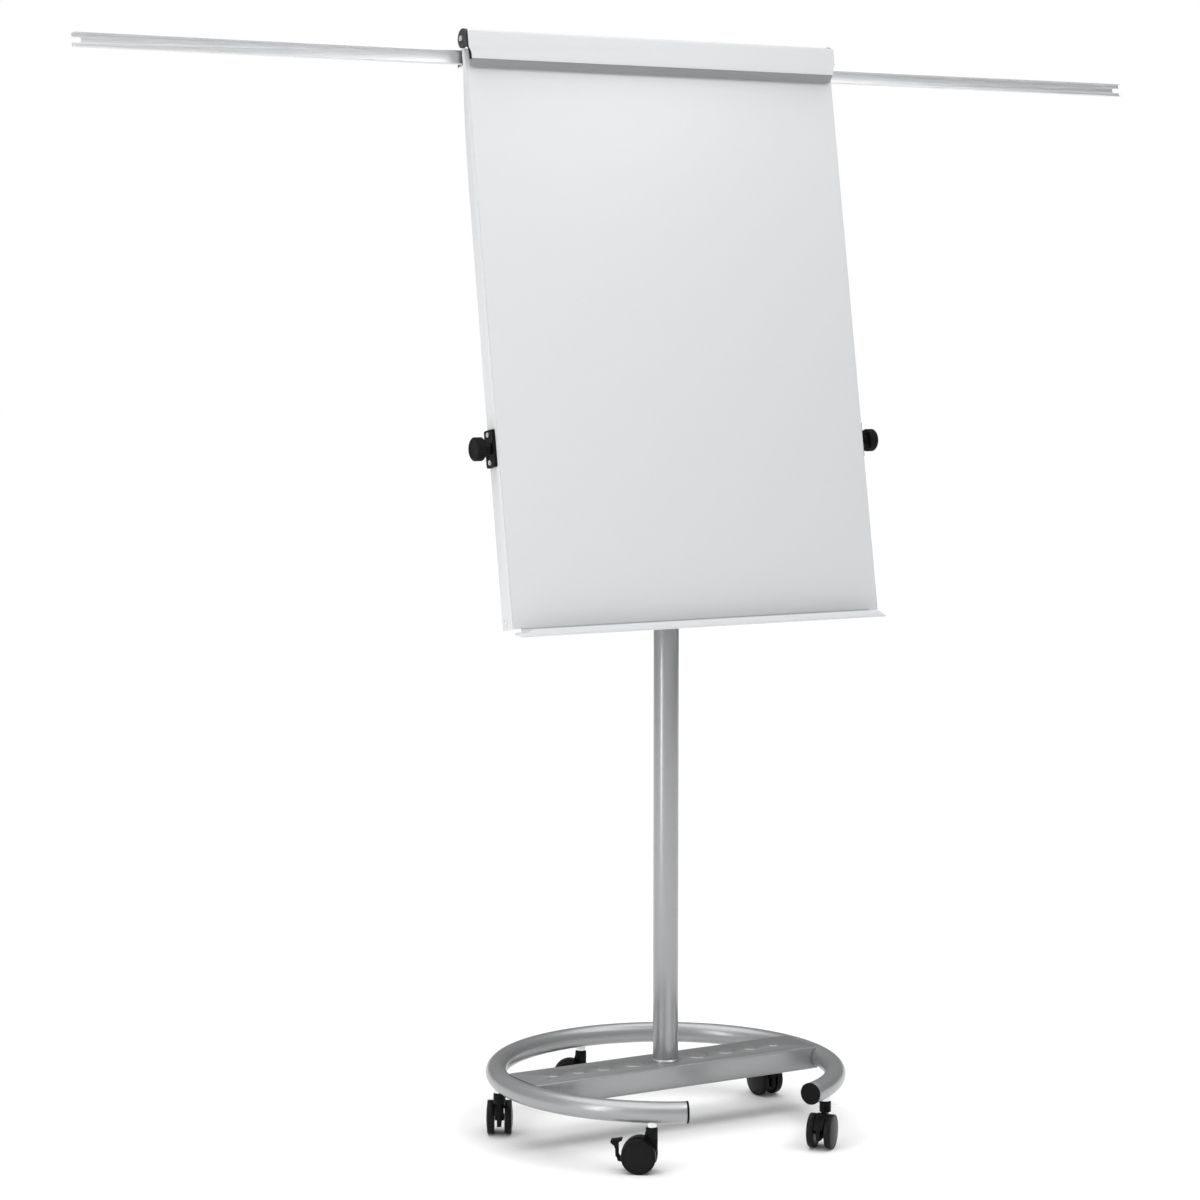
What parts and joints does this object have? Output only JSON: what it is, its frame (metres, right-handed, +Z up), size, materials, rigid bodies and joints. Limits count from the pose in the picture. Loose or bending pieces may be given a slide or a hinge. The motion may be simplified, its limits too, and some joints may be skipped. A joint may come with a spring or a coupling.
{
  "type": "flipchart easel",
  "caption": "Mobile flipchart easel: tilting white board with hinged paper clamp, pen tray and pull-out side arms, on a height-adjustable column with an open castor ring base.",
  "frame": {"origin": "on the floor, at the middle of the overall footprint", "axes": "+X to the right as one faces the board, the board faces -Y, +Z up"},
  "size_m": [2.002, 0.5988, 1.8088],
  "materials": {
    "board_white": "white lacquered steel, satin gloss",
    "frame_white": "white powder coat, semi gloss",
    "arm_aluminium": "satin anodised extrusion",
    "silver_paint": "silver grey metallic powder coat, semi gloss",
    "black_plastic": "moulded black, fine grain",
    "bracket_grey": "moulded dark grey",
    "strip_grey": "soft mid grey gripping strip",
    "wheel_black": "hard black nylon tread, half gloss",
    "chrome": "bright chrome plate",
    "steel": "zinc plated"
  },
  "bodies": {
    "base": {"ring_tube": "silver_paint", "ring_end_caps": "black_plastic", "cross_beam": "silver_paint", "column_tube": "silver_paint", "column_collar": "silver_paint", "column_plug": "black_plastic", "column_fixing": "steel", "column_bush": "black_plastic", "height_collar": "black_plastic", "castor_stems": "chrome"},
    "height_clamp": {"height_knob": "black_plastic", "height_stud": "steel"},
    "mast": {"mast_tube": "chrome", "mast_foot": "black_plastic", "mast_head": "silver_paint", "pivot_tube": "silver_paint", "pivot_inserts": "black_plastic"},
    "tilt_clamp_left": {"tilt_knob_left": "black_plastic", "tilt_stud_left": "steel"},
    "tilt_clamp_right": {"tilt_knob_right": "black_plastic", "tilt_stud_right": "steel"},
    "board": {"board_sheet": "board_white", "side_flange_left": "frame_white", "side_flange_right": "frame_white", "bottom_rail": "frame_white", "flange_screws": "steel", "back_ribs": "frame_white", "pivot_plate_left": "black_plastic", "pivot_plate_right": "black_plastic", "pivot_plate_screws": "steel", "pivot_bushes": "black_plastic", "arm_rail": "arm_aluminium", "pen_tray": "frame_white", "hinge_bracket_left": "bracket_grey", "hinge_bracket_right": "bracket_grey", "clamp_pivot_screws": "steel"},
    "clamp": {"clamp_bar": "frame_white", "clamp_strip": "strip_grey", "clamp_end_left": "black_plastic", "clamp_end_right": "black_plastic"},
    "arm_l": {"arm_left": "arm_aluminium"},
    "arm_r": {"arm_right": "arm_aluminium"},
    "castor_back": {"castor_back_body": "black_plastic", "castor_back_axle": "steel"},
    "castor_back_roller": {"castor_back_wheels": "wheel_black"},
    "castor_left": {"castor_left_body": "black_plastic", "castor_left_axle": "steel"},
    "castor_left_roller": {"castor_left_wheels": "wheel_black"},
    "castor_left_brake": {"castor_left_lever": "black_plastic"},
    "castor_right": {"castor_right_body": "black_plastic", "castor_right_axle": "steel"},
    "castor_right_roller": {"castor_right_wheels": "wheel_black"},
    "castor_front_left": {"castor_front_left_body": "black_plastic", "castor_front_left_axle": "steel"},
    "castor_front_left_roller": {"castor_front_left_wheels": "wheel_black"},
    "castor_front_left_brake": {"castor_front_left_lever": "black_plastic"},
    "castor_front_right": {"castor_front_right_body": "black_plastic", "castor_front_right_axle": "steel"},
    "castor_front_right_roller": {"castor_front_right_wheels": "wheel_black"}
  },
  "joints": [
    {"name": "height", "type": "slide", "parent": "base", "child": "mast", "axis": [0, 0, 1], "range_m": [-0.15, 0.15]},
    {"name": "tilt", "type": "hinge", "parent": "mast", "child": "board", "pos_m": [0, -0.06743, 1.146], "axis": [-1, 0, 0], "range_deg": [-9.5, 80.5]},
    {"name": "clamp_lift", "type": "hinge", "parent": "board", "child": "clamp", "pos_m": [0, 0.02671, 1.79334], "axis": [-1, 0, 0], "range_deg": [0, 95]},
    {"name": "arm_left_slide", "type": "slide", "parent": "board", "child": "arm_l", "axis": [1, 0, 0], "range_m": [0, 0.636]},
    {"name": "arm_right_slide", "type": "slide", "parent": "board", "child": "arm_r", "axis": [-1, 0, 0], "range_m": [0, 0.636]},
    {"name": "tilt_knob_left_turn", "type": "hinge", "parent": "mast", "child": "tilt_clamp_left", "pos_m": [-0.355, -0.06743, 1.146], "axis": [-1, 0, 0], "range_deg": [0, 360]},
    {"name": "tilt_knob_right_turn", "type": "hinge", "parent": "mast", "child": "tilt_clamp_right", "pos_m": [0.355, -0.06743, 1.146], "axis": [1, 0, 0], "range_deg": [0, 360]},
    {"name": "height_knob_turn", "type": "hinge", "parent": "base", "child": "height_clamp", "pos_m": [0, 0.00557, 0.887], "axis": [0, 1, 0], "range_deg": [0, 360]},
    {"name": "castor_back_swivel", "type": "hinge", "parent": "base", "child": "castor_back", "pos_m": [0, 0.25907, 0.065], "axis": [0, 0, 1], "continuous": true},
    {"name": "castor_back_roll", "type": "hinge", "parent": "castor_back", "child": "castor_back_roller", "pos_m": [-0.01672, 0.26912, 0.028], "axis": [-0.515, -0.8572, 0], "continuous": true},
    {"name": "castor_left_swivel", "type": "hinge", "parent": "base", "child": "castor_left", "pos_m": [-0.26963, 0.06318, 0.065], "axis": [0, 0, 1], "continuous": true},
    {"name": "castor_left_roll", "type": "hinge", "parent": "castor_left", "child": "castor_left_roller", "pos_m": [-0.25976, 0.08, 0.028], "axis": [-0.8625, 0.506, 0], "continuous": true},
    {"name": "castor_left_brake_lever", "type": "hinge", "parent": "castor_left", "child": "castor_left_brake", "pos_m": [-0.24382, 0.10717, 0.0205], "axis": [-0.8625, 0.506, 0], "range_deg": [0, 35]},
    {"name": "castor_right_swivel", "type": "hinge", "parent": "base", "child": "castor_right", "pos_m": [0.26963, 0.06318, 0.065], "axis": [0, 0, 1], "continuous": true},
    {"name": "castor_right_roll", "type": "hinge", "parent": "castor_right", "child": "castor_right_roller", "pos_m": [0.26963, 0.08268, 0.028], "axis": [-1, 0, 0], "continuous": true},
    {"name": "castor_front_left_swivel", "type": "hinge", "parent": "base", "child": "castor_front_left", "pos_m": [-0.16664, -0.25378, 0.065], "axis": [0, 0, 1], "continuous": true},
    {"name": "castor_front_left_roll", "type": "hinge", "parent": "castor_front_left", "child": "castor_front_left_roller", "pos_m": [-0.18221, -0.24205, 0.028], "axis": [-0.6018, -0.7986, 0], "continuous": true},
    {"name": "castor_front_left_brake_lever", "type": "hinge", "parent": "castor_front_left", "child": "castor_front_left_brake", "pos_m": [-0.20737, -0.22309, 0.0205], "axis": [-0.6018, -0.7986, 0], "range_deg": [0, 35]},
    {"name": "castor_front_right_swivel", "type": "hinge", "parent": "base", "child": "castor_front_right", "pos_m": [0.16664, -0.25378, 0.065], "axis": [0, 0, 1], "continuous": true},
    {"name": "castor_front_right_roll", "type": "hinge", "parent": "castor_front_right", "child": "castor_front_right_roller", "pos_m": [0.15192, -0.26658, 0.028], "axis": [0.6561, -0.7547, 0], "continuous": true}
  ]
}
